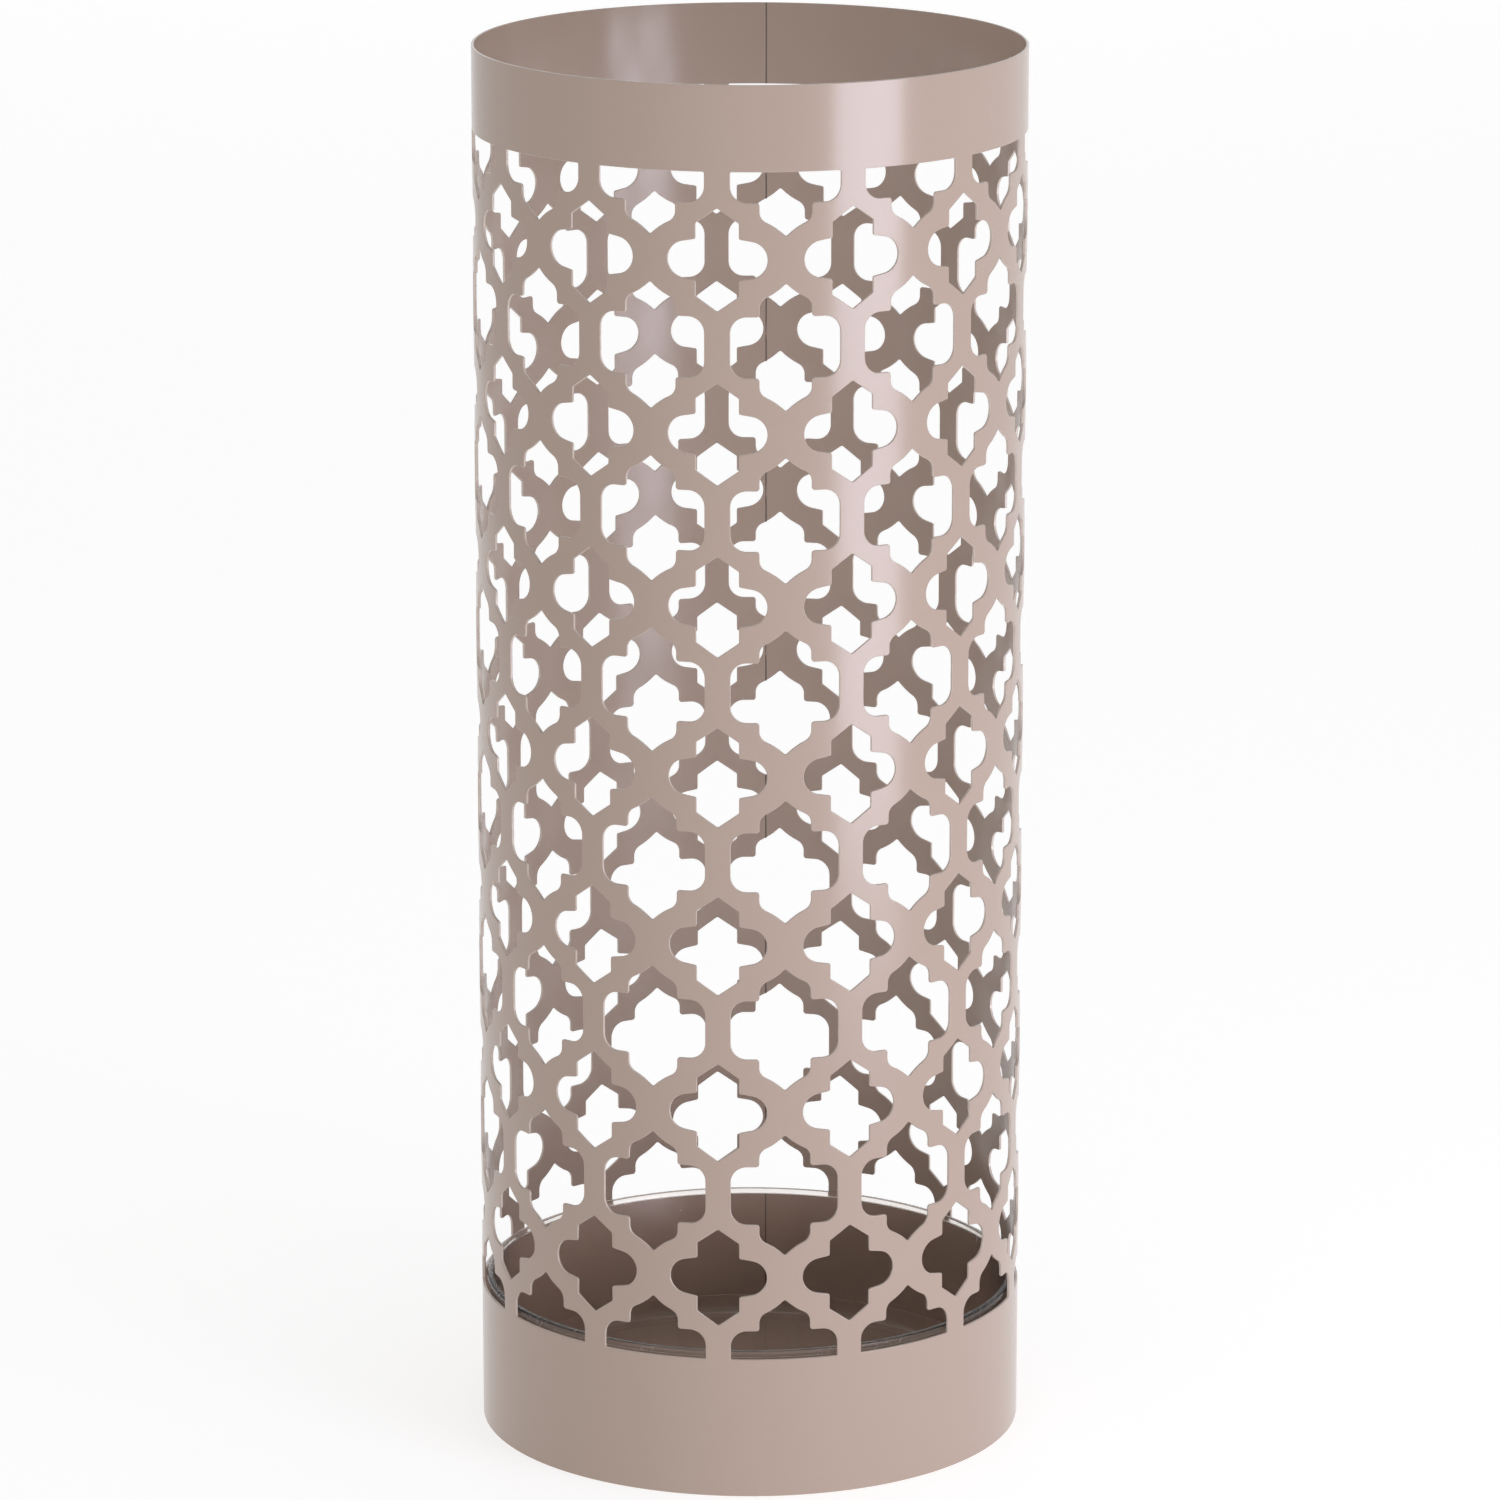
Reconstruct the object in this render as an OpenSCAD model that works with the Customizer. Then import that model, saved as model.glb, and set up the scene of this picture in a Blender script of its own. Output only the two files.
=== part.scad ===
// Umbrella stand: a pierced, rolled steel tube with a welded seam,
// a pressed floor and a loose clear drip tray.
// Millimetres. Origin: centre of the underside, +Z up, the front faces -Y.

/* [Tube] */
// Outside diameter of the tube
tube_d = 194; // [150:1:260]
// Overall height
tube_h = 500; // [360:5:640]
// Thickness of the steel sheet
sheet_t = 1; // [0.8:0.1:1.5]

/* [Bands] */
// Height of the plain band round the mouth
top_band_h = 29.5; // [20:0.5:60]
// Height of the plain band round the base
base_band_h = 50.5; // [35:0.5:90]

/* [Lattice] */
// Openings round the tube
columns = 13; // [9:1:17]
// Large openings from band to band
rows = 7; // [5:1:9]
// Width of a large opening
large_w = 38; // [30:0.5:41]
// Height of a large opening
large_h = 44; // [38:0.5:48]
// Width of a small opening
small_w = 34.3; // [28:0.5:36]
// Height of a small opening
small_h = 35.3; // [30:0.5:38]
// Width of the upright arm of a small opening
small_arm_w = 14.8; // [10:0.2:17]

/* [Seam] */
// Width of the butt joint at the back
seam_gap = 0.8; // [0.5:0.1:1.5]
// How far the weld lies back from the inner face
seam_recess = 0.35; // [0.2:0.05:0.6]
// Where the joint is, in degrees round from the front
seam_angle = 176.5; // [165:0.5:195]

/* [Floor] */
// Thickness of the floor plate
plate_t = 1; // [0.8:0.1:2]
// Height of the floor plate above the ground
plate_lift = 2; // [1:0.5:10]
// Height of the plate's turned-up flange
plate_flange_h = 8.7; // [6:0.1:20]
// Inside bend of the flange
plate_bend_r = 2; // [1:0.5:5]

/* [Drip tray] */
// How far the tray's rim stands above the base band
tray_rise = 2.5; // [1:0.5:10]
// Wall thickness of the tray
tray_t = 1.2; // [0.8:0.1:2]
// Height of the rim bead
tray_rim_h = 2.2; // [1.5:0.1:4]
// Lean of the wall, in degrees
tray_lean_a = 2.4; // [1:0.2:5]
// Bend where the wall meets the floor
tray_bend_r = 5; // [3:0.5:10]
// Gap all round between the rim and the tube
tray_gap = 0.6; // [0.4:0.1:1.5]

/* [Hidden] */
$fn = 96;
tube_r = tube_d / 2;
inner_r = tube_r - sheet_t;
column_a = 360 / columns;
row_h = (tube_h - top_band_h - base_band_h) / rows;
// The openings are drawn for a 46.9 x 60 cell and follow the tighter side of the real one.
cell_k = min(2 * PI * tube_r / columns / 46.9, row_h / 60);
lattice_a = -6.6;
// Large opening: a body with round corners, and a head with round shoulders and an ogee to the tip.
body_x = large_w / 2;
body_y = large_h * 0.239;
body_r = 5.6;
head_x = large_w * 0.237;
shoulder_r = 4;
shoulder_x = head_x - shoulder_r;
shoulder_y = large_h * 0.309;
shoulder_a = 65;
tip_y = large_h / 2;
bend_x = shoulder_x + shoulder_r * cos(shoulder_a);
bend_y = shoulder_y + shoulder_r * sin(shoulder_a) - tip_y;
ogee_r = -(bend_x * bend_x + bend_y * bend_y) / (2 * (bend_x * cos(shoulder_a) + bend_y * sin(shoulder_a)));
ogee_x = shoulder_x + (shoulder_r + ogee_r) * cos(shoulder_a);
ogee_y = shoulder_y + (shoulder_r + ogee_r) * sin(shoulder_a);
// Small opening: an upright arm with gable ends, and a lobe each side.
arm_x = small_arm_w / 2;
arm_y = small_h * 0.354;
lobe_r = small_h * 0.181;
lobe_x = small_w / 2 - lobe_r;
lobe_a = 80;
lobe_top_x = lobe_x + lobe_r * cos(lobe_a);
lobe_top_y = lobe_r * sin(lobe_a);
lobe_foot_y = (lobe_r + (lobe_x - arm_x) * cos(lobe_a)) / sin(lobe_a);
first_a = lattice_a + column_a / 2;
slit_h = tube_h + 2;
plate_z = plate_lift + plate_t;
// Drip tray: the wall is tangent to the bend at its foot and leans out to the rim bead.
tray_r = inner_r - tray_gap;
tray_wall_r = tray_r - 1;
tray_z = plate_z + 0.3;
tray_top = base_band_h + tray_rise;
bend_z = tray_z + tray_bend_r;
wall_foot_z = bend_z - tray_bend_r * sin(tray_lean_a);
wall_foot_r = tray_wall_r - (tray_top - wall_foot_z) * tan(tray_lean_a);
bend_c = wall_foot_r - tray_bend_r * cos(tray_lean_a);

module large_quarter() {
    difference() {
        polygon([
            [0, 0], [head_x, 0], [head_x, shoulder_y], [bend_x, bend_y + tip_y], [0, tip_y]
        ]);
        translate([ogee_x, ogee_y]) circle(r = ogee_r);
    }
    translate([shoulder_x, shoulder_y]) circle(r = shoulder_r);
}

module large_opening() {
    square([2 * (body_x - body_r), 2 * body_y], center = true);
    square([2 * body_x, 2 * (body_y - body_r)], center = true);
    for (x = [-1, 1], y = [-1, 1]) {
        translate([x * (body_x - body_r), y * (body_y - body_r)]) circle(r = body_r);
    }
    for (x = [0, 1], y = [0, 1]) {
        mirror([0, y]) mirror([x, 0]) large_quarter();
    }
}

module small_opening() {
    polygon([
        [arm_x, -arm_y], [arm_x, arm_y], [0, small_h / 2],
        [-arm_x, arm_y], [-arm_x, -arm_y], [0, -small_h / 2]
    ]);
    polygon([
        [-lobe_top_x, lobe_top_y], [-arm_x, lobe_foot_y], [arm_x, lobe_foot_y], [lobe_top_x, lobe_top_y],
        [lobe_top_x, -lobe_top_y], [arm_x, -lobe_foot_y], [-arm_x, -lobe_foot_y], [-lobe_top_x, -lobe_top_y]
    ]);
    for (x = [-1, 1]) {
        translate([x * lobe_x, 0]) circle(r = lobe_r);
    }
}

// A drawing on the sheet, taken straight through it at the angle a round from the front.
module punch(a) {
    rotate([0, 0, a]) translate([0, 4 - tube_r, 0]) rotate([90, 0, 0]) linear_extrude(height = 8) children();
}

module large_column() {
    intersection() {
        translate([-tube_r / 2, base_band_h]) square([tube_r, rows * row_h]);
        union() {
            for (k = [0:rows]) {
                translate([0, base_band_h + k * row_h]) scale(cell_k) large_opening();
            }
        }
    }
}

module small_column() {
    for (k = [0:rows - 1]) {
        translate([0, base_band_h + (k + 0.5) * row_h]) scale(cell_k) small_opening();
    }
}

// A span of the tube's section, centred on the front: r is its outer radius and t its thickness.
module sheet(span, r, t) {
    rotate([0, 0, -90 - span / 2]) rotate_extrude(angle = span) translate([r - t, 0]) square([t, tube_h]);
}

// The butt joint, cut square through the sheet at the angle a round from the front.
module slit(a) {
    rotate([0, 0, a]) translate([-seam_gap / 2, -tube_r - 1, -1]) cube([seam_gap, sheet_t + 2, slit_h]);
}

// One large column with half a small column each side, in its own place round the tube.
module sector(a) {
    rotate([0, 0, a]) difference() {
        sheet(column_a, tube_r, sheet_t);
        punch(0) large_column();
        punch(-column_a / 2) small_column();
        punch(column_a / 2) small_column();
        slit(seam_angle - a);
    }
}

module outer_shell() {
    color([0.70, 0.63, 0.58]) for (c = [0:columns - 1]) {
        sector(first_a + c * column_a);
    }
}

module seam_weld() {
    seam_column_a = first_a + floor((seam_angle - lattice_a) / column_a) * column_a;
    color([0.45, 0.40, 0.36]) difference() {
        intersection() {
            slit(seam_angle);
            rotate([0, 0, seam_angle]) sheet(4, tube_r, sheet_t - seam_recess);
        }
        punch(seam_column_a) large_column();
    }
}

module base_plate() {
    color([0.62, 0.55, 0.50]) rotate_extrude() {
        translate([0, plate_lift]) square([inner_r - plate_bend_r, plate_t]);
        translate([inner_r - plate_t, plate_lift + plate_bend_r])
            square([plate_t, plate_flange_h - plate_bend_r]);
        translate([inner_r - plate_bend_r, plate_lift + plate_bend_r]) intersection() {
            difference() {
                circle(r = plate_bend_r);
                circle(r = plate_bend_r - plate_t);
            }
            translate([0, -plate_bend_r]) square(plate_bend_r);
        }
    }
}

// The tray's section filled to the axis, its skin taken in by t.
module tray_fill(t) {
    polygon([
        [0, tray_z + t], [bend_c, tray_z + t], [bend_c, bend_z],
        [bend_c + (tray_bend_r - t) * cos(tray_lean_a), bend_z - (tray_bend_r - t) * sin(tray_lean_a)],
        [tray_wall_r - t / cos(tray_lean_a), tray_top], [0, tray_top]
    ]);
    translate([bend_c, bend_z]) circle(r = tray_bend_r - t);
}

module drip_tray() {
    color([0.86, 0.88, 0.90, 0.4]) rotate_extrude() {
        difference() {
            tray_fill(0);
            tray_fill(tray_t);
        }
        translate([tray_wall_r - tray_t / 2, tray_top - tray_rim_h]) square([1 + tray_t / 2, tray_rim_h]);
    }
}

outer_shell();
seam_weld();
base_plate();
drip_tray();
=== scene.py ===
"""Umbrella stand: a pierced, rolled steel tube with a welded seam, a pressed floor and a clear drip tray.

Metres. The stand is on the ground at the origin, +Z up, and its front faces -Y. Drawings on the flat
sheet are in millimetres: x along the sheet, z up the tube.
"""
import math

import bmesh
import bpy
import numpy as np
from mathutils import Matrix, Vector
from mathutils.geometry import delaunay_2d_cdt


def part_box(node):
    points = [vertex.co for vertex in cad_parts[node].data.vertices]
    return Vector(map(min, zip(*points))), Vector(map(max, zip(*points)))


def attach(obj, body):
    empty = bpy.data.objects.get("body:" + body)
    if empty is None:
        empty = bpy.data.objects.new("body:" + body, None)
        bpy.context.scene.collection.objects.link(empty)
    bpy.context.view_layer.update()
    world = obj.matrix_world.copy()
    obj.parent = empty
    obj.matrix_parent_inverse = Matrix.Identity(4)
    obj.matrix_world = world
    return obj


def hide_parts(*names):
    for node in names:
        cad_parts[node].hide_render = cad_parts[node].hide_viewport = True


bl_info = {
    "name": "Umbrella Stand",
    "version": (1, 0, 0),
    "blender": (4, 5, 0),
    "location": "View3D > Sidebar > Umbrella Stand",
    "description": "Builds a pierced steel umbrella stand with a clear drip tray",
    "category": "Object",
}

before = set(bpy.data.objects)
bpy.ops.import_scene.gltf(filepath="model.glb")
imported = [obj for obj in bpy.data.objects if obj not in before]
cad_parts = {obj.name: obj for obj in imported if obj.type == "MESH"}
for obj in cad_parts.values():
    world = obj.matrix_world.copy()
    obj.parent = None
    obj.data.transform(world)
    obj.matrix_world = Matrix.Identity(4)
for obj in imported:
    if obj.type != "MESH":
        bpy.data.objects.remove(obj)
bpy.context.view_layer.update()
SHELL_LOW, SHELL_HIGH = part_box("outer_shell")
PLATE_LOW, PLATE_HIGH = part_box("base_plate")
TRAY_LOW, TRAY_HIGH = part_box("drip_tray")
MM = 0.001
PAPER_HALF = 1.15  # half the paper sweep's width, in metres
BEND_STEP = 3.5  # longest straight that follows the roll of the sheet, in millimetres
SIDE_STEP = 4.0  # longest straight up the side of a sector
GRID_STEP = 5.0  # spacing of the points inside a face
GRID_CLEAR = 1.6  # least distance from those points to an outline
# Paler paint for the cut edges: a painted highlight of the light along them.
EDGE_HIGHLIGHT_PAINT = (0.78, 0.70, 0.64, 1.0)


# ---------------------------------------------------------------- settings


def length(name, description, default, **limits):
    """A length that a user can change, in metres."""
    return bpy.props.FloatProperty(
        name=name, description=description, default=default, min=0.0, precision=4, unit="LENGTH", **limits
    )


def colour(name, description, default):
    """A paint colour that a user can change."""
    return bpy.props.FloatVectorProperty(
        name=name, description=description, default=default, size=4, min=0.0, max=1.0, subtype="COLOR"
    )


class PiercedTubeSettings(bpy.types.PropertyGroup):
    """Sizes and paint of the pierced tube."""

    radius: length("Radius", "Outer radius of the rolled sheet", -SHELL_LOW.y)
    height: length("Height", "Height of the tube", SHELL_HIGH.z)
    sheet: length("Sheet", "Thickness of the sheet", 1.0 * MM)
    top_band: length("Top band", "Height of the plain band at the mouth", 29.5 * MM)
    base_band: length("Base band", "Height of the plain band at the foot", 50.5 * MM)
    columns: bpy.props.IntProperty(
        name="Columns", description="Columns of large openings round the tube", default=13, min=3
    )
    rows: bpy.props.IntProperty(
        name="Rows", description="Rows of small openings up the tube", default=7, min=1
    )
    turn: bpy.props.FloatProperty(
        name="Turn",
        description="Turn of the lattice from the front to the first column of small openings",
        default=math.radians(-6.6),
        subtype="ANGLE",
    )
    large_width: length("Large width", "Width of a large opening", 38.0 * MM)
    large_height: length("Large height", "Height of a large opening, tip to tip", 44.0 * MM)
    small_width: length("Small width", "Width of a small opening across its lobes", 34.3 * MM)
    small_height: length("Small height", "Height of a small opening, tip to tip", 35.3 * MM)
    small_arm: length("Small arm", "Width of a small opening's upright arm", 14.8 * MM)
    edge_round: length("Edge round", "Round that the paint gives each cut edge", 0.22 * MM)
    paint: colour("Paint", "Colour of the powder coat", (0.385, 0.291, 0.240, 1.0))


class SeamSettings(bpy.types.PropertyGroup):
    """Place, size and paint of the welded seam; its dark paint is a painted shadow of the seam's gap."""

    angle: bpy.props.FloatProperty(
        name="Angle",
        description="Turn of the seam from the front",
        default=math.radians(176.5),
        subtype="ANGLE",
    )
    width: length("Width", "Width of the weld", 0.6 * MM)
    proud: length("Proud", "How far the weld stands out of the sheet inside", 0.03 * MM)
    clear: length("Clear", "Distance from the middle of a large opening to the weld's end", 17.9 * MM)
    # The dark seam colour is painted shadow. It stands in for the shade in the seam's gap.
    paint: colour("Paint", "Colour of the thin coat in the joint", (0.11, 0.082, 0.07, 1.0))


class FloorPlateSettings(bpy.types.PropertyGroup):
    """Sizes and paint of the pressed floor."""

    radius: length("Radius", "Outer radius of the flange", PLATE_HIGH.x)
    lift: length("Lift", "Height of the floor's underside", PLATE_LOW.z)
    top: length("Top", "Height of the flange's edge", PLATE_HIGH.z)
    sheet: length("Sheet", "Thickness of the sheet", 1.0 * MM)
    bend: length("Bend", "Outer radius of the bend up to the flange", 2.0 * MM)
    paint: colour("Paint", "Colour of the powder coat", (0.39, 0.296, 0.247, 1.0))


class DripTraySettings(bpy.types.PropertyGroup):
    """Sizes and tint of the clear drip tray."""

    radius: length("Radius", "Outer radius of the rim bead", TRAY_HIGH.x)
    foot: length("Foot", "Height of the tray's underside", TRAY_LOW.z)
    top: length("Top", "Height of the rim", TRAY_HIGH.z)
    wall: length("Wall", "Thickness of the plastic", 1.2 * MM)
    bead: length("Bead", "How far the rim bead stands out of the wall", 1.0 * MM)
    bead_height: length("Bead height", "Height of the rim bead", 2.2 * MM)
    lean: bpy.props.FloatProperty(
        name="Lean", description="Lean of the wall", default=math.radians(2.4), subtype="ANGLE"
    )
    bend: length("Bend", "Outer radius of the bend from the floor to the wall", 5.0 * MM)
    tint: colour("Tint", "Tint of the clear plastic", (0.93, 0.89, 0.86, 1.0))


class StudioSettings(bpy.types.PropertyGroup):
    """Camera, lights and paper sweep."""

    distance: length("Distance", "Camera's distance from the tube's axis along the ground", 2.49)
    height: length("Height", "Camera's height above the ground", 0.874)
    aim: length("Aim", "Height on the tube's axis that the camera looks at", 0.2462)
    lens: bpy.props.FloatProperty(
        name="Lens", description="Focal length of the camera", default=173.0, unit="CAMERA"
    )
    ambient: bpy.props.FloatProperty(
        name="Ambient", description="Strength of the light from all round", default=1.28, min=0.0
    )
    lean: bpy.props.FloatProperty(
        name="Lean", description="How much of that light comes from the front right", default=0.14, max=1.0
    )
    paper: colour("Paper", "Colour of the sweep", (0.62, 0.62, 0.62, 1.0))


# ---------------------------------------------------------------- drawing the sheet


def arc(centre, radius, start, end, sag=0.02):
    """Points along an arc from start to end, in degrees, close enough to sag by that much at most."""
    step = 2 * math.degrees(math.acos(1 - sag / radius))
    count = max(1, math.ceil(abs(end - start) / step))
    turns = (math.radians(start + (end - start) * k / count) for k in range(count + 1))
    return [(centre[0] + radius * math.cos(t), centre[1] + radius * math.sin(t)) for t in turns]


def rounded(corner, before, after, radius):
    """Points of a round corner between the sides that go to before and to after."""
    corner = Vector(corner)
    side_a, side_b = (Vector(before) - corner).normalized(), (Vector(after) - corner).normalized()
    half = side_a.angle(side_b) / 2
    centre = corner + (side_a + side_b).normalized() * radius / math.sin(half)
    ends = [corner + side * radius / math.tan(half) - centre for side in (side_a, side_b)]
    start, end = (math.degrees(math.atan2(e.y, e.x)) for e in ends)
    end = start + (end - start + 180) % 360 - 180
    return arc(centre, radius, start, end)


def round_tip(height, half_angle, radius):
    """Right half of a round tip on the centre line, from its top to where it meets its side."""
    return arc((0, height - radius / math.sin(math.radians(half_angle))), radius, 90, half_angle)


def large_quarter(width, height):
    """A large opening's top right quarter, from its tip to its side: head, ogee and body."""
    body_x, body_y, body_r = width / 2, height * 0.239, 5.6
    head_x, shoulder_y, shoulder_r, shoulder_a = width * 0.237, height * 0.309, 4.0, 65.0
    shoulder = Vector((head_x - shoulder_r, shoulder_y))
    up = Vector((math.cos(math.radians(shoulder_a)), math.sin(math.radians(shoulder_a))))
    bend = shoulder + up * shoulder_r - Vector((0, height / 2))
    ogee_r = -bend.length_squared / (2 * bend.dot(up))
    ogee = shoulder + up * (shoulder_r + ogee_r)
    to_tip = Vector((0, height / 2)) - ogee
    tip_a = math.degrees(math.atan2(to_tip.y, to_tip.x)) % 360
    half_angle, tip_r = tip_a - 180, 0.7
    trim = math.degrees(tip_r / math.tan(math.radians(half_angle)) / ogee_r)
    points = round_tip(height / 2, half_angle, tip_r)
    points += arc(ogee, ogee_r, tip_a + trim, 180 + shoulder_a)
    points += arc(shoulder, shoulder_r, shoulder_a, 0)[1:]
    points += rounded((head_x, body_y), (head_x, shoulder_y), (body_x, body_y), 1.1)
    points += arc((body_x - body_r, body_y - body_r), body_r, 90, 0)
    return points + [(body_x, 0)]


def small_quarter(width, height, arm):
    """A small opening's top right quarter, from its gable's tip to the side of its lobe."""
    arm_x, arm_y, lobe_r, lobe_a, corner_r = arm / 2, height * 0.354, height * 0.181, 80.0, 0.7
    lobe_x = width / 2 - lobe_r
    rise, run = math.sin(math.radians(lobe_a)), math.cos(math.radians(lobe_a))
    foot_y = (lobe_r + (lobe_x - arm_x) * run) / rise
    lobe_top = (lobe_x + lobe_r * run, lobe_r * rise)
    half_angle = math.degrees(math.atan2(arm_x, height / 2 - arm_y))
    points = round_tip(height / 2, half_angle, corner_r)
    points += rounded((arm_x, arm_y), (0, height / 2), (arm_x, 0), corner_r)
    points += rounded((arm_x, foot_y), (arm_x, arm_y), lobe_top, corner_r)
    return points + arc((lobe_x, 0), lobe_r, lobe_a, 0)


def straight(start, end, step=BEND_STEP):
    """Points from start to end, without the last, no further apart than the step."""
    count = max(1, math.ceil(math.dist(start, end) / step))
    run, rise = end[0] - start[0], end[1] - start[1]
    return [(start[0] + run * k / count, start[1] + rise * k / count) for k in range(count)]


def divided(points):
    """The same closed outline with its long straights divided, so that they bend with the sheet."""
    sides = zip(points, points[1:] + points[:1])
    return [place for start, end in sides for place in straight(start, end)]


def mirrored(points, x=1, z=1):
    """The outline mirrored, and turned round so that it still runs clockwise."""
    flipped = [(x * px, z * pz) for px, pz in points]
    return flipped[::-1] if x * z < 0 else flipped


def whole(quarter):
    """A clockwise outline from its top right quarter, starting at the tip."""
    right = quarter + mirrored(quarter, z=-1)[1:]
    return right + mirrored(right, x=-1)[1:-1]


def upper_half(quarter):
    """The part of an opening above its centre line, closed by a straight with round corners."""
    corner = quarter[-1]
    right = quarter[:-1] + rounded(corner, quarter[-2], (0, 0), 0.5)
    return right + mirrored(right, x=-1)[:-1]


class Cut:
    """One outline on the sheet: its points, and for each the way from the hole into the metal."""

    def __init__(self, points, closed=True, inward=None):
        self.points = np.array(points, float)
        self.closed = closed
        self.inward = self.ways() if inward is None else inward

    def ways(self):
        """The way into the metal at each point, long enough that an offset keeps its width."""
        along = np.roll(self.points, -1, axis=0) - self.points
        along /= np.linalg.norm(along, axis=1)[:, None]
        left = np.stack([-along[:, 1], along[:, 0]], axis=1)
        both = left + np.roll(left, 1, axis=0)
        return both / (1 + (left * np.roll(left, 1, axis=0)).sum(axis=1))[:, None]

    def moved(self, x, z):
        """The same cut somewhere else on the sheet."""
        return Cut(self.points + (x, z), self.closed, self.inward)

    def half(self, side):
        """The left (-1) or right (1) half of a whole opening, as an open notch."""
        order = np.arange(len(self.points))
        middle = len(order) // 2
        keep = order[: middle + 1] if side > 0 else np.append(order[middle:], 0)
        return Cut(self.points[keep], False, self.inward[keep])

    def offset(self, distance):
        """The outline moved into the metal."""
        return self.points + self.inward * distance


def sheet_cuts(tube):
    """(closed openings, right edge's notches) of one sector, from the foot up, in millimetres."""
    pitch = 2 * math.pi * tube.radius / MM / tube.columns
    low, high = tube.base_band / MM, (tube.height - tube.top_band) / MM
    row = (high - low) / tube.rows
    scale = min(pitch / 46.9, row / 60)
    large = large_quarter(tube.large_width / MM, tube.large_height / MM)
    small = small_quarter(tube.small_width / MM, tube.small_height / MM, tube.small_arm / MM)
    large, small = ([(scale * x, scale * z) for x, z in q] for q in (large, small))
    full = Cut(divided(whole(large)))
    foot = Cut(divided(upper_half(large)))
    head = Cut(divided(mirrored(upper_half(large), z=-1)))
    openings = [foot.moved(0, low), head.moved(0, high)]
    openings += [full.moved(0, low + k * row) for k in range(1, tube.rows)]
    left_half = Cut(divided(whole(small))).half(-1)
    notches = [left_half.moved(pitch / 2, low + (k + 0.5) * row) for k in range(tube.rows)]
    return openings, notches


def face_outline(tube, notches, inset):
    """The outline of one flat sector's face, inset from each cut edge, counter-clockwise from its foot."""
    side = math.pi * tube.radius / MM / tube.columns
    low, high = inset, tube.height / MM - inset
    right, at = [], (side, low)
    for notch in notches:
        edge = [(x, z) for x, z in notch.offset(inset)]
        right += straight(at, edge[0], SIDE_STEP) + edge[:-1]
        at = edge[-1]
    right += straight(at, (side, high), SIDE_STEP)
    left = [(-x, z) for x, z in right]
    rim = straight((side, high), (-side, high)) + [(-side, high)]
    foot = straight((-side, low), (side, low))
    return foot + right + rim + left[:0:-1]


def inside(places, outline):
    """Which of the places lie inside a closed outline."""
    crossed = np.zeros(len(places), bool)
    x, z = places[:, 0], places[:, 1]
    for (ax, az), (bx, bz) in zip(outline, np.roll(outline, -1, axis=0)):
        if az != bz:
            crossed ^= ((az > z) != (bz > z)) & (x < ax + (z - az) * (bx - ax) / (bz - az))
    return crossed


def face_triangles(outline, holes):
    """Triangles that fill the outline round its holes, with a grid of points between them."""
    edges, points = [], []
    for loop in [outline] + holes:
        first = len(points)
        points += [tuple(p) for p in loop]
        edges += [(first + k, first + (k + 1) % len(loop)) for k in range(len(loop))]
    drawn = np.array(points)
    low, high = drawn.min(axis=0), drawn.max(axis=0)
    counts = np.ceil((high - low) / GRID_STEP).astype(int)
    for i in range(1, counts[0]):
        for k in range(1, counts[1]):
            p = low + (high - low) * (i, k) / counts
            if np.linalg.norm(drawn - p, axis=1).min() > GRID_CLEAR:
                points.append(tuple(p))
    inside_outline = 1
    flat, _, faces, *_ = delaunay_2d_cdt([Vector(p) for p in points], edges, [], inside_outline, 1e-5)
    flat, faces = np.array(flat), np.array(faces)
    middles = flat[faces].mean(axis=1)
    for hole in holes:
        metal = ~inside(middles, hole)
        faces, middles = faces[metal], middles[metal]
    used, faces = np.unique(faces, return_inverse=True)
    return flat[used], faces.reshape(-1, 3)


def flat_sector(tube):
    """One sector of the pierced sheet, flat: x along the sheet, y into its thickness, z up."""
    thick, inset = tube.sheet / MM, tube.edge_round / MM
    side, top = math.pi * tube.radius / MM / tube.columns, tube.height / MM
    openings, notches = sheet_cuts(tube)
    outline = face_outline(tube, notches, inset)
    drawn, triangles = face_triangles(outline, [cut.offset(inset) for cut in openings])
    points, faces, ways, marked = [], [], [], []

    def add(places, way, highlight):
        first = len(points)
        points.extend(places)
        ways.extend(way)
        marked.extend([highlight] * len(places))
        return first

    for depth, way in ((0.0, -1.0), (thick, 1.0)):
        first = add([(x, depth, z) for x, z in drawn], [(0.0, way, 0.0)] * len(drawn), 0.0)
        faces += [tuple(face) for face in first + triangles]

    rims = []
    for height, way in ((0.0, 1.0), (top, -1.0)):
        along = straight((-side, height), (side, height)) + [(side, height)]
        rims.append(Cut(along, False, np.array([(0.0, way)] * len(along))))
    mirrors = [Cut(n.points * (-1, 1), False, n.inward * (-1, 1)) for n in notches]
    for cut in openings + notches + mirrors + rims:
        unit = cut.inward / np.linalg.norm(cut.inward, axis=1)[:, None]
        out = [(-x, 0.0, -z) for x, z in unit]
        face, edge = cut.offset(inset), cut.points
        # The cut-edge walls get 1, which marks them for the painted highlight along the cut edges.
        rings = [
            add([(x, 0.0, z) for x, z in face], [(0.0, -1.0, 0.0)] * len(out), 0.0),
            add([(x, inset, z) for x, z in edge], out, 1.0),
            add([(x, thick - inset, z) for x, z in edge], out, 1.0),
            add([(x, thick, z) for x, z in face], [(0.0, 1.0, 0.0)] * len(out), 0.0),
        ]
        count = len(edge)
        for near, far in zip(rings, rings[1:]):
            for k in range(count if cut.closed else count - 1):
                n = (k + 1) % count
                faces.append((near + k, near + n, far + n, far + k))
    return np.array(points), faces, np.array(ways), np.array(marked)


def facing(points, faces, ways):
    """The same faces, each turned to face the way that its points' normals do."""
    out = []
    for face in faces:
        a, b, c = (points[v] for v in face[:3])
        turn = np.cross(b - a, c - a)
        if len(face) == 4:
            turn = np.cross(points[face[2]] - a, points[face[3]] - b)
        out.append(face if turn @ ways[list(face)].sum(axis=0) > 0 else face[::-1])
    return out


# ---------------------------------------------------------------- meshes and node trees


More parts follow.
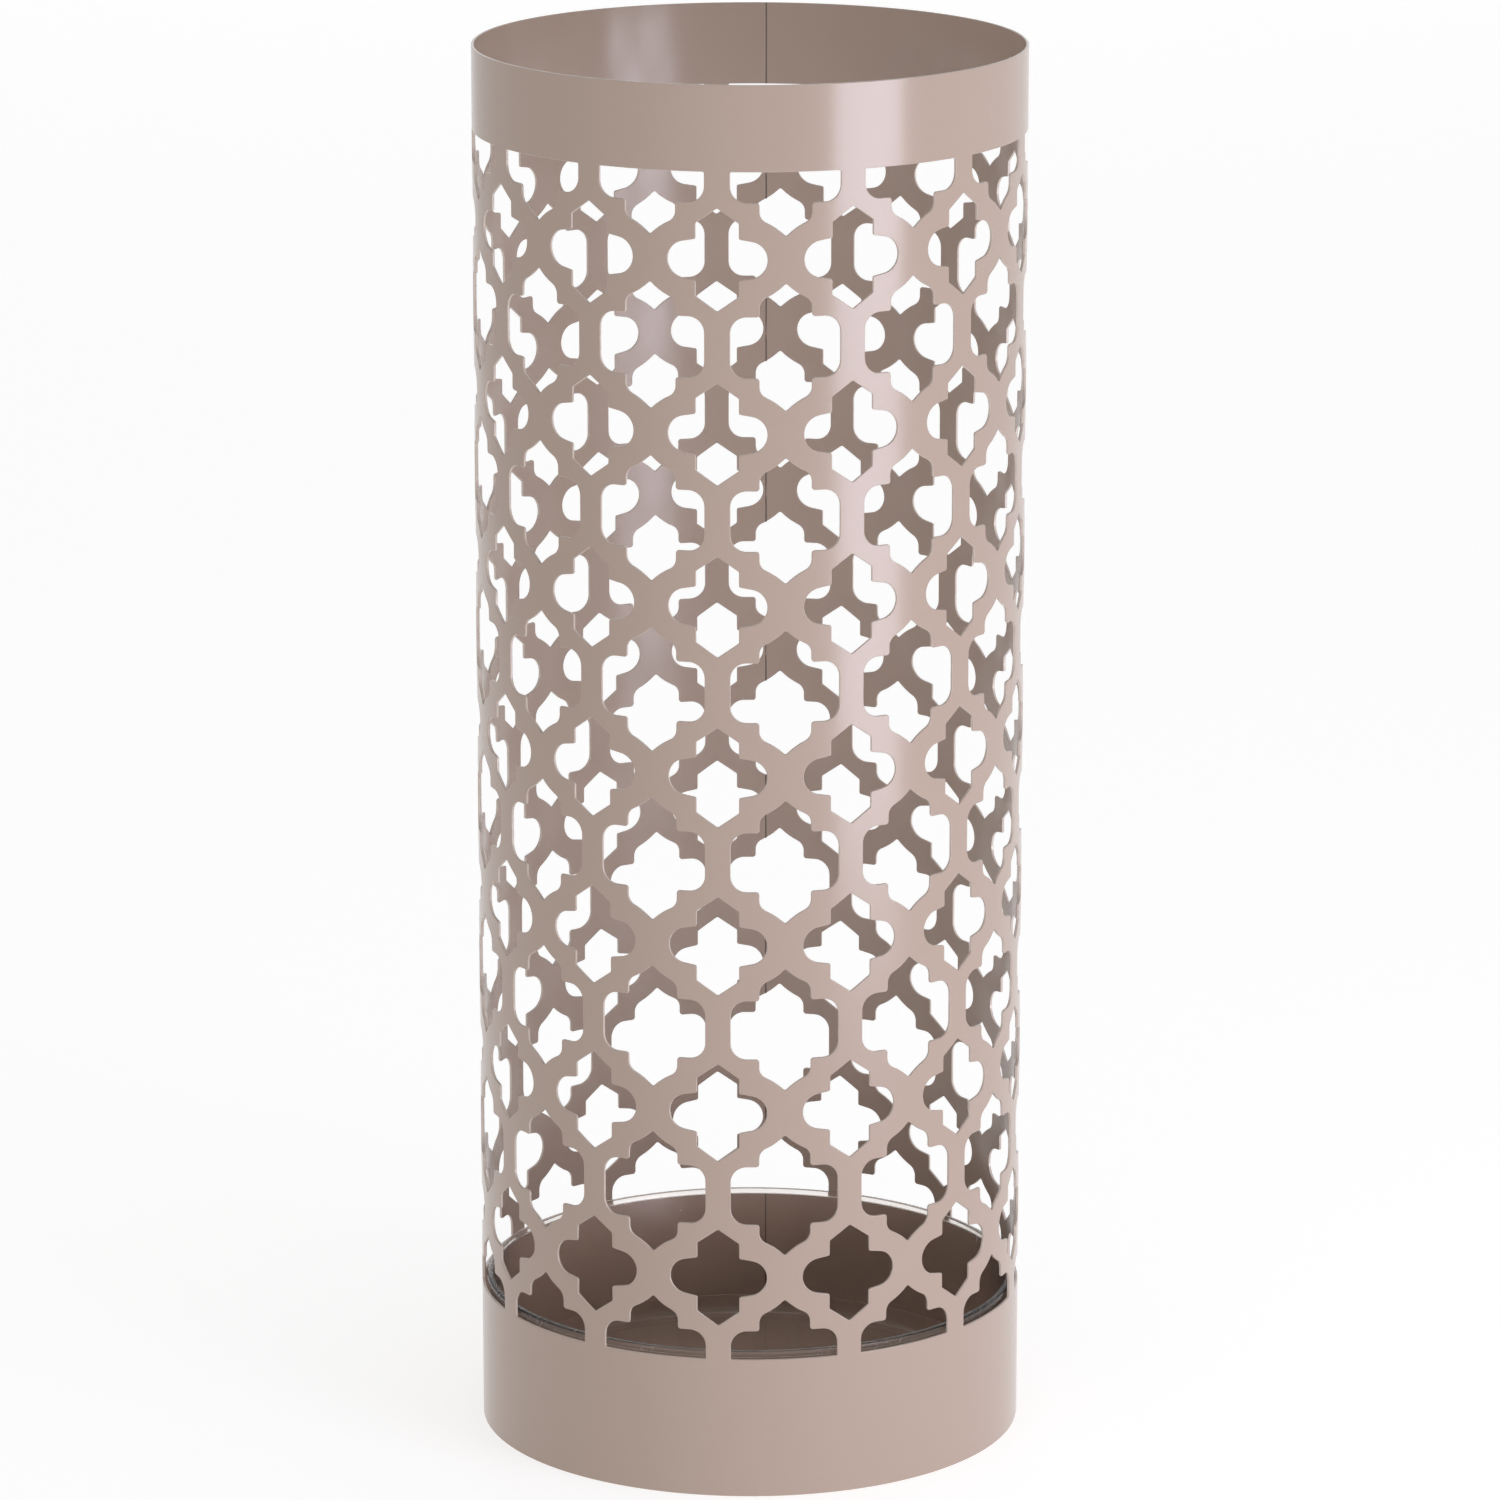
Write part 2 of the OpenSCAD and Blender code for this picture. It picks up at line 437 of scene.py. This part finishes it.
def node(tree, kind, inputs=None, **settings):
    """Add a node, with each input set to a value or linked from a socket."""
    made = tree.nodes.new(kind)
    made.location = (190 * (len(tree.nodes) % 12), -220 * (len(tree.nodes) // 12))
    for key, value in settings.items():
        setattr(made, key, value)
    for key, value in (inputs or {}).items():
        if isinstance(value, bpy.types.NodeSocket):
            tree.links.new(value, made.inputs[key])
        else:
            made.inputs[key].default_value = value
    return made


def maths(tree, operation, *values):
    """The result of a Math node."""
    return node(tree, "ShaderNodeMath", dict(enumerate(values)), operation=operation).outputs[0]


def new_sockets(tree, inputs, outputs):
    """Name a group's sockets: name to (socket type, default or None)."""
    for way, sockets in (("INPUT", inputs), ("OUTPUT", outputs)):
        for name, (kind, default) in sockets.items():
            socket = tree.interface.new_socket(name=name, in_out=way, socket_type="NodeSocket" + kind)
            if default is not None:
                socket.default_value = default


def rolled_sheet_tree():
    """Bends a flat sector round the tube, repeats it for each column and joins the sectors up."""
    tree = bpy.data.node_groups.new("Rolled Pierced Sheet", "GeometryNodeTree")
    new_sockets(
        tree,
        {
            "Sector": ("Geometry", None),
            "Radius": ("Float", 0.1),
            "Columns": ("Int", 12),
            "First Column": ("Float", 0.0),
            "Join Distance": ("Float", 0.00001),
            "Material": ("Material", None),
        },
        {"Tube": ("Geometry", None)},
    )
    given = node(tree, "NodeGroupInput").outputs
    place = node(tree, "GeometryNodeInputPosition").outputs[0]
    flat = node(tree, "ShaderNodeSeparateXYZ", {0: place}).outputs
    turn = maths(tree, "ADD", maths(tree, "DIVIDE", flat["X"], given["Radius"]), given["First Column"])
    out = maths(tree, "SUBTRACT", given["Radius"], flat["Y"])
    east = maths(tree, "MULTIPLY", out, maths(tree, "SINE", turn))
    south = maths(tree, "MULTIPLY", out, maths(tree, "COSINE", turn))
    bent = node(
        tree, "ShaderNodeCombineXYZ", {"X": east, "Y": maths(tree, "MULTIPLY", south, -1.0), "Z": flat["Z"]}
    )
    sector = node(
        tree, "GeometryNodeSetPosition", {"Geometry": given["Sector"], "Position": bent.outputs[0]}
    )
    places = node(tree, "GeometryNodeMeshLine", {"Count": given["Columns"], "Offset": (0.0, 0.0, 0.0)})
    index = node(tree, "GeometryNodeInputIndex").outputs[0]
    step = maths(tree, "DIVIDE", math.tau, given["Columns"])
    round_up = node(tree, "ShaderNodeCombineXYZ", {"Z": maths(tree, "MULTIPLY", index, step)})
    turned = node(tree, "FunctionNodeEulerToRotation", {0: round_up.outputs[0]})
    sectors = node(
        tree,
        "GeometryNodeInstanceOnPoints",
        {"Points": places.outputs[0], "Instance": sector.outputs[0], "Rotation": turned.outputs[0]},
    )
    real = node(tree, "GeometryNodeRealizeInstances", {0: sectors.outputs[0]})
    joined = node(
        tree,
        "GeometryNodeMergeByDistance",
        {"Geometry": real.outputs[0], "Distance": given["Join Distance"]},
    )
    painted = node(
        tree, "GeometryNodeSetMaterial", {"Geometry": joined.outputs[0], "Material": given["Material"]}
    )
    node(tree, "NodeGroupOutput", {"Tube": painted.outputs[0]})
    return tree


def grown(obj, tree, **values):
    """Run a Geometry Nodes tree on the object and keep the result as its plain mesh."""
    modifier = obj.modifiers.new(tree.name, "NODES")
    modifier.node_group = tree
    for socket in tree.interface.items_tree:
        name = socket.name.lower().replace(" ", "_")
        if socket.in_out == "INPUT" and name in values:
            modifier[socket.identifier] = values[name]
    bpy.context.view_layer.update()
    depsgraph = bpy.context.evaluated_depsgraph_get()
    mesh = bpy.data.meshes.new_from_object(
        obj.evaluated_get(depsgraph), preserve_all_data_layers=True, depsgraph=depsgraph
    )
    mesh.name = obj.name
    obj.modifiers.clear()
    obj.data = mesh


def new_object(name, points, faces, material=None):
    """A mesh object at the origin."""
    mesh = bpy.data.meshes.new(name)
    mesh.from_pydata([tuple(p) for p in points], [], faces)
    if material:
        mesh.materials.append(material)
    made = bpy.data.objects.new(name, mesh)
    bpy.context.scene.collection.objects.link(made)
    return made


def face_out(made):
    """Turn the faces of a closed mesh outwards."""
    solid = bmesh.new()
    solid.from_mesh(made.data)
    bmesh.ops.recalc_face_normals(solid, faces=solid.faces)
    solid.to_mesh(made.data)
    solid.free()


def revolved(name, profile, material, sides=192):
    """A closed solid from a section that starts and ends on the axis: (radius, height) points."""
    points, faces, rings = [], [], []
    for radius, height in profile:
        if radius < 1e-7:
            rings.append([len(points)] * sides)
            points.append((0.0, 0.0, height))
            continue
        rings.append(list(range(len(points), len(points) + sides)))
        turns = [math.tau * k / sides for k in range(sides)]
        points += [(radius * math.sin(t), -radius * math.cos(t), height) for t in turns]
    for near, far in zip(rings, rings[1:]):
        for k in range(sides):
            n = (k + 1) % sides
            faces.append(tuple(dict.fromkeys((near[k], near[n], far[n], far[k]))))
    made = new_object(name, points, faces, material)
    face_out(made)
    made.data.shade_smooth()
    made.data.set_sharp_from_angle(angle=math.radians(40))
    return made


# ---------------------------------------------------------------- finishes


def powder_coat_group():
    """Baked powder coat: a faint tone cloud, fine grain, soft ripple and a painted highlight on cut edges.
    """
    tree = bpy.data.node_groups.new("Powder Coat", "ShaderNodeTree")
    new_sockets(
        tree,
        {
            "Place": ("Vector", None),
            "Paint": ("Color", (0.5, 0.5, 0.5, 1.0)),
            "Edge": ("Float", 0.0),
            "Tone": ("Float", 0.1),
            "Rub": ("Float", 0.2),
            "Gloss": ("Float", 0.4),
        },
        {"Color": ("Color", None), "Roughness": ("Float", None), "Height": ("Float", None)},
    )
    given = node(tree, "NodeGroupInput").outputs

    def noise(scale, detail, roughness=0.5):
        made = node(
            tree,
            "ShaderNodeTexNoise",
            {"Vector": given["Place"], "Scale": scale, "Detail": detail, "Roughness": roughness},
        )
        return maths(tree, "SUBTRACT", made.outputs[0], 0.5)

    cloud, ripple, grain = noise(11.0, 3.0), noise(420.0, 2.0), noise(2100.0, 2.0, 0.7)
    mottle = maths(tree, "ADD", maths(tree, "MULTIPLY", cloud, 0.8), maths(tree, "MULTIPLY", grain, 0.7))
    tone = maths(tree, "ADD", maths(tree, "MULTIPLY", mottle, given["Tone"]), 1.0)
    toned = node(tree, "ShaderNodeVectorMath", {0: given["Paint"], "Scale": tone}, operation="SCALE")
    patchy = maths(tree, "ADD", noise(90.0, 4.0, 0.7), 0.6)
    # Paler paint in patches on the cut edges: a painted highlight where light catches the edges.
    highlight_share = maths(tree, "MULTIPLY", maths(tree, "MULTIPLY", given["Edge"], given["Rub"]), patchy)
    # A colour mix takes its factor, first and second colour in sockets 0, 6 and 7, and gives socket 2.
    marked = node(tree, "ShaderNodeMix", {0: highlight_share, 6: toned.outputs[0], 7: EDGE_HIGHLIGHT_PAINT}, data_type="RGBA")
    sheen = maths(
        tree, "ADD", maths(tree, "MULTIPLY", ripple, 0.05), maths(tree, "MULTIPLY", grain, 0.06)
    )
    rough = maths(tree, "ADD", given["Gloss"], sheen)
    height = maths(tree, "ADD", ripple, maths(tree, "MULTIPLY", grain, 0.25))
    node(tree, "NodeGroupOutput", {"Color": marked.outputs[2], "Roughness": rough, "Height": height})
    return tree


def fine_marks_group():
    """Hairline scuffs and faint dried drops, as a mask from 0 to 1."""
    tree = bpy.data.node_groups.new("Fine Marks", "ShaderNodeTree")
    new_sockets(
        tree,
        {"Place": ("Vector", None), "Scuffs": ("Float", 0.5), "Drops": ("Float", 0.5)},
        {"Marks": ("Float", None)},
    )
    given = node(tree, "NodeGroupInput").outputs
    drawn_out = node(
        tree,
        "ShaderNodeMapping",
        {"Vector": given["Place"], "Scale": (1.0, 9.0, 1.0), "Rotation": (0, 0, 0.5)},
    )
    hairs = node(
        tree, "ShaderNodeTexNoise", {"Vector": drawn_out.outputs[0], "Scale": 160.0, "Detail": 5.0}
    )
    scuffs = node(
        tree, "ShaderNodeMapRange", {"Value": hairs.outputs[0], "From Min": 0.56, "From Max": 0.70}
    )
    cells = node(tree, "ShaderNodeTexVoronoi", {"Vector": given["Place"], "Scale": 70.0})
    ring = maths(tree, "ABSOLUTE", maths(tree, "SUBTRACT", cells.outputs["Distance"], 0.28))
    drops = node(
        tree,
        "ShaderNodeMapRange",
        {"Value": ring, "From Min": 0.05, "From Max": 0.0},
    )
    marks = maths(
        tree,
        "ADD",
        maths(tree, "MULTIPLY", scuffs.outputs[0], given["Scuffs"]),
        maths(tree, "MULTIPLY", drops.outputs[0], given["Drops"]),
    )
    node(tree, "NodeGroupOutput", {"Marks": marks})
    return tree


def shared_group(name):
    """A shader node group that several finishes use, built once."""
    makers = {"Powder Coat": powder_coat_group, "Fine Marks": fine_marks_group}
    return bpy.data.node_groups.get(name) or makers[name]()


def new_material(name):
    """An empty material: (material, its tree, its Principled BSDF)."""
    material = bpy.data.materials.new(name)
    material.use_nodes = True
    tree = material.node_tree
    tree.nodes.clear()
    shader = node(tree, "ShaderNodeBsdfPrincipled")
    node(tree, "ShaderNodeOutputMaterial", {"Surface": shader.outputs[0]})
    return material, tree, shader


def link(tree, source, shader, socket):
    """Feed one of the shader's sockets."""
    tree.links.new(source, shader.inputs[socket])


def powder_coated(name, paint, gloss, tone=0.05, rub=0.0, ripple=0.000005):
    """A powder-coated steel finish in the given paint."""
    material, tree, shader = new_material(name)
    place = node(tree, "ShaderNodeTexCoord").outputs["Object"]
    inputs = {"Place": place, "Paint": tuple(paint), "Tone": tone, "Rub": rub, "Gloss": gloss}
    # The edge mask from the mesh drives a painted highlight on the cut edges.
    if rub:
        inputs["Edge"] = node(tree, "ShaderNodeAttribute", attribute_name="edge").outputs["Fac"]
    coat = node(tree, "ShaderNodeGroup", inputs, node_tree=shared_group("Powder Coat"))
    bump = node(
        tree, "ShaderNodeBump", {"Strength": 1.0, "Distance": ripple, "Height": coat.outputs["Height"]}
    )
    link(tree, coat.outputs["Color"], shader, "Base Color")
    link(tree, coat.outputs["Roughness"], shader, "Roughness")
    link(tree, bump.outputs[0], shader, "Normal")
    shader.inputs["Specular IOR Level"].default_value = 0.55
    return material


def clear_plastic(tint):
    """Clear moulded plastic with hairline scuffs and dried drops on it."""
    material, tree, shader = new_material("Clear Plastic")
    place = node(tree, "ShaderNodeTexCoord").outputs["Object"]
    marked = {"Place": place, "Scuffs": 0.05, "Drops": 0.03}
    marks = node(tree, "ShaderNodeGroup", marked, node_tree=shared_group("Fine Marks"))
    rim = node(tree, "ShaderNodeAttribute", attribute_name="edge").outputs["Fac"]
    rough = maths(tree, "ADD", maths(tree, "MULTIPLY_ADD", rim, 0.22, 0.012), marks.outputs[0])
    link(tree, rough, shader, "Roughness")
    shader.inputs["Base Color"].default_value = tuple(tint)
    shader.inputs["Transmission Weight"].default_value = 1.0
    shader.inputs["IOR"].default_value = 1.36
    output = next(n for n in tree.nodes if n.type == "OUTPUT_MATERIAL")
    shadow = node(tree, "ShaderNodeLightPath").outputs["Is Shadow Ray"]
    clear = node(tree, "ShaderNodeBsdfTransparent", {"Color": (0.92, 0.88, 0.85, 1.0)})
    both = node(tree, "ShaderNodeMixShader", {0: shadow, 1: shader.outputs[0], 2: clear.outputs[0]})
    tree.links.new(both.outputs[0], output.inputs["Surface"])
    return material


def studio_paper(paper):
    """Matt seamless paper with a faint fibre to it."""
    material, tree, shader = new_material("Studio Paper")
    place = node(tree, "ShaderNodeTexCoord").outputs["Object"]
    fibre = node(tree, "ShaderNodeTexNoise", {"Vector": place, "Scale": 180.0, "Detail": 4.0})
    tone = node(
        tree, "ShaderNodeMapRange", {"Value": fibre.outputs[0], "To Min": 0.985, "To Max": 1.015}
    )
    toned = node(
        tree, "ShaderNodeVectorMath", {0: tuple(paper)[:3], "Scale": tone.outputs[0]}, operation="SCALE"
    )
    link(tree, toned.outputs[0], shader, "Base Color")
    shader.inputs["Roughness"].default_value = 0.85
    shader.inputs["Emission Color"].default_value = (1.0, 1.0, 1.0, 1.0)
    shader.inputs["Emission Strength"].default_value = 0.62
    shader.inputs["Specular IOR Level"].default_value = 0.2
    return material


# ---------------------------------------------------------------- operators


class BuildPiercedTube(bpy.types.Operator):
    """Pierce the sheet, roll it round the tube and paint it"""

    bl_idname = "umbrella_stand.pierced_tube"
    bl_label = "Pierced Tube"

    def execute(self, context):
        tube = context.scene.umbrella_tube
        points, faces, ways, marked = flat_sector(tube)
        # The cut edges of the pierced sheet get a painted highlight.
        finish = powder_coated("Taupe Powder Coat", tube.paint, gloss=0.20, rub=0.8)
        made = new_object("pierced_tube", points * MM, facing(points, faces, ways))
        made.data.attributes.new("way", "FLOAT_VECTOR", "POINT").data.foreach_set("vector", ways.ravel())
        made.data.attributes.new("edge", "FLOAT", "POINT").data.foreach_set("value", marked)
        grown(
            made,
            rolled_sheet_tree(),
            radius=tube.radius,
            columns=tube.columns,
            first_column=tube.turn + math.pi / tube.columns,
            join_distance=0.01 * MM,
            material=finish,
        )
        self.set_normals(made.data)
        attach(made, "stand")
        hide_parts("outer_shell")
        return {"FINISHED"}

    @staticmethod
    def set_normals(mesh):
        """Give each point its true normal on the rolled sheet, from its way on the flat one."""
        count = len(mesh.vertices)
        place, way = np.empty(count * 3), np.empty(count * 3)
        mesh.vertices.foreach_get("co", place)
        mesh.attributes["way"].data.foreach_get("vector", way)
        place, way = place.reshape(-1, 3), way.reshape(-1, 3)
        out = place[:, :2] / np.linalg.norm(place[:, :2], axis=1)[:, None]
        along = np.stack([-out[:, 1], out[:, 0]], axis=1)
        flat = way[:, :1] * along - way[:, 1:2] * out
        normals = np.column_stack([flat, way[:, 2]])
        normals /= np.linalg.norm(normals, axis=1)[:, None]
        mesh.shade_smooth()
        mesh.normals_split_custom_set_from_vertices([tuple(n) for n in normals])
        mesh.attributes.remove(mesh.attributes["way"])


class BuildSeam(bpy.types.Operator):
    """Run the weld down the back of the tube, wherever the openings leave metal"""

    bl_idname = "umbrella_stand.seam"
    bl_label = "Welded Seam"

    def execute(self, context):
        tube, seam = context.scene.umbrella_tube, context.scene.umbrella_seam
        low, high = tube.base_band, tube.height - tube.top_band
        row = (high - low) / tube.rows
        runs = [(0.0, low), (high, tube.height)]
        runs += [(low + k * row + seam.clear, low + (k + 1) * row - seam.clear) for k in range(tube.rows)]
        points, faces = [], []
        inner, outer = tube.radius - tube.sheet - seam.proud, tube.radius + 0.01 * MM
        section = (
            (outer, 0.5),
            (outer, -0.5),
            (inner + seam.proud, -0.5),
            (inner, -0.25),
            (inner, 0.25),
            (inner + seam.proud, 0.5),
        )
        for start, end in runs:
            first = len(points)
            for z in (start + 0.05 * MM, end - 0.05 * MM):
                for radius, share in section:
                    turn = seam.angle + share * seam.width / tube.radius
                    points.append((radius * math.sin(turn), -radius * math.cos(turn), z))
            foot = [first + k for k in range(len(section))]
            head = [k + len(section) for k in foot]
            faces += [foot, head[::-1]]
            faces += [(foot[k - 1], head[k - 1], head[k], foot[k]) for k in range(len(section))]
        # Dark paint on the weld: a painted shadow of the gap along the seam.
        finish = powder_coated("Seam Paint", seam.paint, gloss=0.5)
        made = new_object("seam_line", points, faces, finish)
        face_out(made)
        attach(made, "stand")
        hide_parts("seam_weld")
        return {"FINISHED"}


class BuildFloorPlate(bpy.types.Operator):
    """Press the floor with its upturned flange"""

    bl_idname = "umbrella_stand.floor_plate"
    bl_label = "Floor Plate"

    def execute(self, context):
        plate = context.scene.umbrella_plate
        radius, low, top = plate.radius / MM, plate.lift / MM, plate.top / MM
        thick, bend = plate.sheet / MM, plate.bend / MM
        centre = (radius - bend, low + bend)
        profile = [(0, low)] + arc(centre, bend, -90, 0, 0.01)
        profile += rounded((radius, top), (radius, low), (radius - thick, top), 0.3)
        profile += rounded((radius - thick, top), (radius, top), (radius - thick, low), 0.3)
        profile += arc(centre, bend - thick, 0, -90, 0.01) + [(0, low + thick)]
        finish = powder_coated("Floor Powder Coat", plate.paint, gloss=0.26)
        made = revolved("floor_plate", [(r * MM, z * MM) for r, z in profile], finish)
        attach(made, "stand")
        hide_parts("base_plate")
        return {"FINISHED"}


class BuildDripTray(bpy.types.Operator):
    """Mould the clear drip tray"""

    bl_idname = "umbrella_stand.drip_tray"
    bl_label = "Drip Tray"

    def execute(self, context):
        tray = context.scene.umbrella_tray
        foot, top, thick, bend = (v / MM for v in (tray.foot, tray.top, tray.wall, tray.bend))
        rim_r, bead, bead_low = tray.radius / MM, tray.bead / MM, (tray.top - tray.bead_height) / MM
        wall_r, lean = rim_r - bead, math.degrees(tray.lean)
        slope = math.tan(tray.lean)
        bend_z = foot + bend
        wall_foot_z = bend_z - bend * math.sin(tray.lean)
        centre = (wall_r - (top - wall_foot_z) * slope - bend * math.cos(tray.lean), bend_z)
        under_bead = (wall_r - (top - bead_low) * slope, bead_low)
        inner_top = (wall_r - thick / math.cos(tray.lean), top)
        profile = [(0, foot)] + arc(centre, bend, -90, -lean, 0.01) + [under_bead]
        profile += rounded((rim_r, bead_low), under_bead, (rim_r, top), 0.5)
        profile += rounded((rim_r, top), (rim_r, bead_low), inner_top, 0.7)
        profile += rounded(inner_top, (rim_r, top), (centre[0] + bend - thick, bend_z), 0.4)
        profile += arc(centre, bend - thick, -lean, -90, 0.01) + [(0, foot + thick)]
        made = revolved("clear_drip_tray", [(r * MM, z * MM) for r, z in profile], clear_plastic(tray.tint))
        just_under = (bead_low - 0.1) * MM
        rim = [float(vertex.co.z > just_under) for vertex in made.data.vertices]
        made.data.attributes.new("edge", "FLOAT", "POINT").data.foreach_set("value", rim)
        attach(made, "tray")
        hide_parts("drip_tray")
        return {"FINISHED"}


class BuildStudio(bpy.types.Operator):
    """Set out the paper sweep, the soft lights and the camera"""

    bl_idname = "umbrella_stand.studio"
    bl_label = "Studio"

    def execute(self, context):
        studio = context.scene.umbrella_studio
        self.sweep(studio)
        # name, turn from the front, distance, height, (width, height), brightness, tint
        self.soft_light("key_window", 48.5, 1.7, 0.27, (0.9, 0.45), 6.4, (0.94, 0.94, 1.1))
        self.soft_light("low_window", 48.5, 0.85, 0.11, (0.4, 0.2), 4.2, (0.94, 0.94, 1.1))
        self.soft_light("top_window", 0, 0.35, 2.4, (1.8, 1.8), 0.25, (1.0, 1.0, 1.0))
        self.ambient(context.scene, studio)
        self.camera(context.scene, studio)
        context.scene.view_settings.view_transform = "Standard"
        return {"FINISHED"}

    @staticmethod
    def sweep(studio):
        """Paper that runs along the floor and curves up at the back."""
        curve = arc((4.5, 1.5), 1.5, -90, 0, 0.01)
        profile = [(-6.0, 0.0)] + curve + [(6.0, 4.5)]
        points = [(x, y, z - 0.0002) for y, z in profile for x in (-PAPER_HALF, PAPER_HALF)]
        faces = [(2 * k, 2 * k + 1, 2 * k + 3, 2 * k + 2) for k in range(len(profile) - 1)]
        made = new_object("paper_sweep", points, faces, studio_paper(studio.paper))
        made.data.shade_smooth()

    @staticmethod
    def soft_light(name, turn, distance, height, size, brightness, tint):
        """A rectangular softbox that faces the middle of the stand."""
        light = bpy.data.lights.new(name, "AREA")
        light.shape = "RECTANGLE"
        light.size, light.size_y = size
        light.energy = math.pi * brightness * size[0] * size[1]
        light.color = tint
        made = bpy.data.objects.new(name, light)
        turn = math.radians(turn)
        made.location = (distance * math.sin(turn), -distance * math.cos(turn), height)
        made.visible_camera = False
        made.visible_transmission = False
        look = Vector((0, 0, 0.3)) - made.location
        made.rotation_euler = look.to_track_quat("-Z", "Y").to_euler()
        bpy.context.scene.collection.objects.link(made)

    @staticmethod
    def ambient(scene, studio):
        """Even light from all round, stronger from the front right."""
        world = bpy.data.worlds.new("Studio Air")
        world.use_nodes = True
        tree = world.node_tree
        way = node(tree, "ShaderNodeTexCoord").outputs["Generated"]
        front_right = (0.82, -0.55, 0.15)
        along = node(tree, "ShaderNodeVectorMath", {0: way, 1: front_right}, operation="DOT_PRODUCT")
        leaning = maths(tree, "MULTIPLY_ADD", along.outputs["Value"], studio.lean, 1.0)
        up = node(tree, "ShaderNodeSeparateXYZ", {0: way}).outputs["Z"]
        above = node(
            tree,
            "ShaderNodeMapRange",
            {"Value": up, "From Min": -0.25, "From Max": 0.1, "To Min": 0.8, "To Max": studio.ambient},
        )
        overhead = node(
            tree,
            "ShaderNodeMapRange",
            {"Value": up, "From Min": 0.0, "From Max": 0.5, "To Min": 1.0, "To Max": 0.33},
        )
        round_about = maths(tree, "MULTIPLY", above.outputs[0], overhead.outputs[0])
        rays = node(tree, "ShaderNodeLightPath").outputs
        seen = maths(tree, "MAXIMUM", rays["Is Camera Ray"], rays["Is Transmission Ray"])
        lit = maths(tree, "MULTIPLY", leaning, round_about)
        strength = node(tree, "ShaderNodeMix", {0: seen, 2: lit, 3: 1.0}, data_type="FLOAT").outputs[0]
        tree.links.new(strength, tree.nodes["Background"].inputs["Strength"])
        tree.nodes["Background"].inputs["Color"].default_value = (1.0, 1.0, 1.0, 1.0)
        scene.world = world

    @staticmethod
    def camera(scene, studio):
        """The camera in front of the stand, a little above it."""
        made = bpy.data.objects.new("camera", bpy.data.cameras.new("camera"))
        made.data.lens = studio.lens
        made.data.clip_start = 0.05
        made.location = (0, -studio.distance, studio.height)
        look = Vector((0, 0, studio.aim)) - made.location
        made.rotation_euler = look.to_track_quat("-Z", "Y").to_euler()
        scene.collection.objects.link(made)
        scene.camera = made


class UmbrellaStandPanel(bpy.types.Panel):
    """Lists the stand's pieces and their sizes."""

    bl_idname = "VIEW3D_PT_umbrella_stand"
    bl_label = "Umbrella Stand"
    bl_space_type = "VIEW_3D"
    bl_region_type = "UI"
    bl_category = "Umbrella Stand"

    def draw(self, context):
        for settings, operator in PIECES:
            box = self.layout.box()
            box.operator(operator.bl_idname)
            group = getattr(context.scene, settings)
            for name in type(group).__annotations__:
                box.prop(group, name)


PIECES = (
    ("umbrella_tube", BuildPiercedTube),
    ("umbrella_seam", BuildSeam),
    ("umbrella_plate", BuildFloorPlate),
    ("umbrella_tray", BuildDripTray),
    ("umbrella_studio", BuildStudio),
)
SETTINGS = {
    "umbrella_tube": PiercedTubeSettings,
    "umbrella_seam": SeamSettings,
    "umbrella_plate": FloorPlateSettings,
    "umbrella_tray": DripTraySettings,
    "umbrella_studio": StudioSettings,
}


def register():
    """Add the settings, operators and panel to Blender."""
    for name, group in SETTINGS.items():
        bpy.utils.register_class(group)
        setattr(bpy.types.Scene, name, bpy.props.PointerProperty(type=group))
    for _, operator in PIECES:
        bpy.utils.register_class(operator)
    bpy.utils.register_class(UmbrellaStandPanel)


def unregister():
    """Take them out again, last one first."""
    bpy.utils.unregister_class(UmbrellaStandPanel)
    for _, operator in reversed(PIECES):
        bpy.utils.unregister_class(operator)
    for name, group in reversed(SETTINGS.items()):
        delattr(bpy.types.Scene, name)
        bpy.utils.unregister_class(group)


def main():
    """Build the stand and its studio."""
    register()
    bpy.ops.umbrella_stand.pierced_tube()
    bpy.ops.umbrella_stand.seam()
    bpy.ops.umbrella_stand.floor_plate()
    bpy.ops.umbrella_stand.drip_tray()
    bpy.ops.umbrella_stand.studio()


if __name__ == "__main__":
    main()
